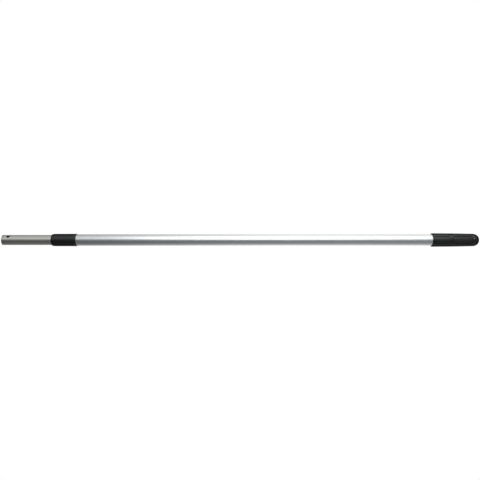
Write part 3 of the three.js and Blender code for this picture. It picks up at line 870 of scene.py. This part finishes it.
def build_washer_and_clip():
    x0, x1, r = reach("thrust_washer")
    bore = SHANK_R + GAP
    washer = turned((x0, bore, 0.15), (x0, r, 0.2), (x1, r, 0.2), (x1, bore, 0.15))
    piece("washer_pressed", washer, zinc_steel, "inner_section", "zinc_steel", "thrust_washer")
    x0, x1, r = reach("retaining_clip")
    bore = THREAD_ROOT + SHANK_PLAY
    clip = turned((x0, bore, 0.15), (x0, r, 0.25), (x1, r, 0.25), (x1, bore, 0.15))
    wide = PAST + r / math.cos(CLIP_HALF_OPENING)
    gap = [(0, 0), (wide, -QUARTER - CLIP_HALF_OPENING), (wide, -QUARTER + CLIP_HALF_OPENING)]
    clip = combined(clip, extruded(gap, x0 - PAST, x1 + PAST), "DIFFERENCE")
    piece("clip_pressed", clip, zinc_steel, "inner_section", "zinc_steel", "retaining_clip")


def build_hub():
    """The fixed cone, with fingers that pass between the shoes."""
    x0, x1, rim = reach("expander_hub")
    cone = x0 + HUB_RIM
    cone_end = cone + CONE_LENGTH
    bm = turned(
        (x0, 0, 0), (x0, rim, 0.6), (cone, rim, 0.3), (cone, CONE_ROOT, 0.1),
        (cone_end, CONE_TIP, 0.3), (cone_end, 0, 0),
    )
    for k in range(3):
        bm = combined(bm, finger(FINGER_HALF, CONE_TIP, CONE_ROOT, cone - PAST, x1, k * THIRD), "UNION")
    bm = drill(bm, x0 - PAST, cone_end + PAST, SHANK_R + RUNNING_GAP)
    piece("hub_moulded", bm, white_nylon, "lock_carrier", "white_nylon", "expander_hub")


def shoe_section(angle):
    """The share of the circle between two fingers, with room for both."""
    edge = THIRD / 2 - math.asin(FINGER_ROOM / (OUTER_BORE + PAST))
    root = (FINGER_ROOM / math.sin(THIRD / 2), angle)
    return [root] + arc_points(OUTER_BORE + PAST, angle - edge, angle + edge)


def build_shoe(number):
    """A third of a ring with hollow conical ends, and a groove for the band round its middle."""
    node = f"expander_shoe_{number}"
    x0, x1, _ = reach(node)
    middle = (x0 + x1) / 2
    end_bore = CONE_ROOT - SHOE_INSET * CONE_SLOPE + SEAT_GAP
    middle_bore = end_bore - (middle - x0) * CONE_SLOPE
    groove = SHOE_R - GROOVE_DEPTH
    bm = turned(
        (x0, end_bore, 0.2), (x0, SHOE_R, 0.5), (middle - GROOVE_HALF, SHOE_R, 0.2),
        (middle - GROOVE_HALF, groove, 0.3), (middle + GROOVE_HALF, groove, 0.3),
        (middle + GROOVE_HALF, SHOE_R, 0.2), (x1, SHOE_R, 0.5), (x1, end_bore, 0.2),
        (middle, middle_bore, 0.3),
    )
    angle = math.pi - (number - 1) * THIRD
    bm = combined(bm, extruded(shoe_section(angle), x0 - PAST, x1 + PAST), "INTERSECT")
    piece(f"shoe_{number}_moulded", bm, grey_nylon, f"shoe_{number}", "grey_nylon", node)


def build_band():
    x0, x1, r = reach("shoe_band")
    middle = (x0 + x1) / 2
    turns = evenly(0, TURN, BAND_SIDES)
    ring = r - BAND_SECTION_R
    circle = [(middle + BAND_SECTION_R * math.cos(t), ring + BAND_SECTION_R * math.sin(t)) for t in turns]
    piece("band_moulded", lathe(circle, FINE), black_rubber, "lock_carrier", "black_rubber", "shoe_band")


def build_nut():
    """The moving cone, tapped for the spindle and slotted for the hub's fingers."""
    x0, x1, r = reach("cone_nut")
    cone_end = x1 - NUT_RIM
    bm = turned(
        (x0, 0, 0), (x0, CONE_TIP, 0.3), (cone_end, CONE_ROOT, 0.1), (cone_end, r, 0.3),
        (x1, r, 0.6), (x1, 0, 0),
    )
    bm = drill(bm, x0 - PAST, x1 + PAST, THREAD_ROOT + THREAD_GAP)
    thread = thread_ridge(x0 - 2 * THREAD_PITCH, x1 + 2 * THREAD_PITCH, THREAD_GAP)
    bm = combined(bm, thread, "DIFFERENCE")
    slot_root = CONE_TIP - RUNNING_GAP
    slot_end = cone_end + SLOT_ROOM
    for k in range(3):
        slot = finger(FINGER_ROOM, slot_root, OUTER_BORE, x0 - PAST, slot_end, k * THIRD)
        bm = combined(bm, slot, "DIFFERENCE")
    piece("nut_moulded", bm, white_nylon, "nut", "white_nylon", "cone_nut")


build_tubes()
build_collar()
build_grip()
for side in SIDES:
    for length in PAD_SPANS:
        build_pad(side, length)
build_bush()
build_end_plug()
build_anchor()
build_spindle()
build_washer_and_clip()
build_hub()
for number in (1, 2, 3):
    build_shoe(number)
build_band()
build_nut()


# ---- Studio ----

CAMERA_X = -0.0016
CAMERA_BACK = 1.197
LENS = 40.9
FLOOR_R = 8
LOW_EYE = 0.12  # an eye lower than this above the floor sees it pure white
GRAZING = (0.03, 0.2)  # so does one that looks along it, between these sines
# The studio is a white cove. Its strength goes with a direction's share of UP_AND_BACK, and with its share
# along the pole, both as (share, strength) stops.
UP_AND_BACK = Vector((0, 0.82, 0.57))
BRIGHTEST = 2.0  # the top of both curves
COVE = [(-1, 0.21), (-0.8, 0.34), (-0.5, 0.5), (0.1, 0.86), (0.38, 1.35), (0.7, 1.0), (1, 0.92)]
ALONG = [(-1, 0.2), (-0.36, 0.31), (-0.18, 0.56), (-0.04, 0.86), (0.14, 1.03), (0.39, 0.84), (1, 0.3)]
WARM_WHITE = (1.0, 1.0, 0.985)
COOL_WHITE = (0.93, 1.0, 1.02)


def look_at(thing, target):
    thing.rotation_euler = (Vector(target) - thing.location).to_track_quat("-Z", "Y").to_euler()


def soft_box(name, place, target, size, power, shows=True):
    """A rectangular light, out of the camera's sight, and out of reflections too unless it shows."""
    light = bpy.data.lights.new(name, "AREA")
    light.shape = "RECTANGLE"
    light.size, light.size_y = size
    light.energy = power
    made = bpy.data.objects.new(name, light)
    made.location = place
    look_at(made, target)
    made.visible_camera = False
    made.visible_glossy = shows
    bpy.context.scene.collection.objects.link(made)


class Backdrop(Look):
    """The studio's surroundings: white to the camera, and a soft cove of light to everything else."""

    def __init__(self):
        world = bpy.data.worlds.new("studio")
        world.use_nodes = True
        bpy.context.scene.world = world
        self.nodes = world.node_tree.nodes
        self.links = world.node_tree.links
        self.place = self.nodes.new("ShaderNodeTexCoord").outputs["Generated"]

    def towards(self, direction):
        node = self.nodes.new("ShaderNodeVectorMath")
        node.operation = "DOT_PRODUCT"
        self.links.new(self.place, node.inputs[0])
        node.inputs[1].default_value = direction
        return node.outputs["Value"]

    def smooth(self, value, stops):
        """A soft curve through (value, strength) stops."""
        node = self.nodes.new("ShaderNodeFloatCurve")
        curve = node.mapping.curves[0]
        for k, (at, strength) in enumerate(stops):
            spot = ((at + 1) / 2, strength / BRIGHTEST)
            if 0 < k < len(stops) - 1:
                curve.points.new(*spot)
            else:
                curve.points[0 if k == 0 else -1].location = spot
        node.mapping.update()
        self.links.new(self.math("MULTIPLY_ADD", value, 0.5, 0.5), node.inputs["Value"])
        return self.math("MULTIPLY", node.outputs["Value"], BRIGHTEST)


def build_world():
    backdrop = Backdrop()
    cove = backdrop.smooth(backdrop.towards(UP_AND_BACK), COVE)
    side = backdrop.smooth(backdrop.towards((1, 0, 0)), ALONG)
    strength = backdrop.math("MULTIPLY", cove, side)
    seen = backdrop.nodes.new("ShaderNodeLightPath").outputs["Is Camera Ray"]
    shade = backdrop.nodes.new("ShaderNodeMix")
    backdrop.feed(shade.inputs["Factor"], seen)
    backdrop.feed(shade.inputs["A"], strength)
    shade.inputs["B"].default_value = 1.0
    in_front = backdrop.spread(backdrop.towards((0, -1, 0)), 0, 1, 0.2, 0.8)
    tint = backdrop.blend(in_front, WARM_WHITE, COOL_WHITE)
    background = backdrop.nodes["Background"]
    backdrop.feed(background.inputs["Color"], backdrop.blend(seen, tint, (1.0, 1.0, 1.0)))
    backdrop.feed(background.inputs["Strength"], shade.outputs["Result"])


def build_floor():
    """A pale floor that the pole rests on. It turns pure white towards the horizon, and from eye level."""
    bm = bmesh.new()
    bmesh.ops.create_circle(bm, cap_ends=True, segments=64, radius=FLOOR_R)
    floor = mesh_object("floor", bm)
    floor.location.z = -grip_r * MM
    floor.visible_glossy = False
    look = Look("floor_paper")
    fleck = look.noise(40, 3, 0.5)
    tone = look.blend(look.spread(fleck, 0, 1), (0.86, 0.86, 0.86), (0.87, 0.87, 0.87))
    look.set(Base_Color=tone, Roughness=0.9, Specular_IOR_Level=0.0)
    white = look.nodes.new("ShaderNodeEmission")
    split = look.nodes.new("ShaderNodeSeparateXYZ")
    look.feed(split.inputs["Vector"], look.nodes.new("ShaderNodeNewGeometry").outputs["Incoming"])
    path = look.nodes.new("ShaderNodeLightPath")
    grazing = look.spread(split.outputs["Z"], 1, 0, *GRAZING)
    eye_height = look.math("MULTIPLY", split.outputs["Z"], path.outputs["Ray Length"])
    low_eye = look.math("LESS_THAN", eye_height, LOW_EYE)
    plain = look.math("MULTIPLY", look.math("MAXIMUM", grazing, low_eye), path.outputs["Is Camera Ray"])
    mix = look.nodes.new("ShaderNodeMixShader")
    look.feed(mix.inputs["Fac"], plain)
    look.links.new(look.shader.outputs["BSDF"], mix.inputs[1])
    look.links.new(white.outputs["Emission"], mix.inputs[2])
    look.links.new(mix.outputs["Shader"], look.nodes["Material Output"].inputs["Surface"])
    floor.data.materials.append(look.material)


def build_camera():
    camera = bpy.data.objects.new("camera", bpy.data.cameras.new("camera"))
    camera.data.lens = LENS
    camera.data.clip_start = 0.01
    camera.location = (CAMERA_X, -CAMERA_BACK, 0)
    look_at(camera, (CAMERA_X, 0, 0))
    bpy.context.scene.collection.objects.link(camera)
    bpy.context.scene.camera = camera


build_world()
build_floor()
soft_box("key", (0.18, -0.74, 0.58), (0.18, 0, 0), (1.1, 0.9), 5.5)
soft_box("side", (-0.92, -0.74, 0.58), (-0.37, 0, 0), (1.0, 0.9), 1.3)
soft_box("fill", (0.0, 0.2, 1.6), (0, 0, 0), (2.0, 2.0), 8.0, False)
build_camera()
bpy.context.scene.view_settings.view_transform = "Standard"
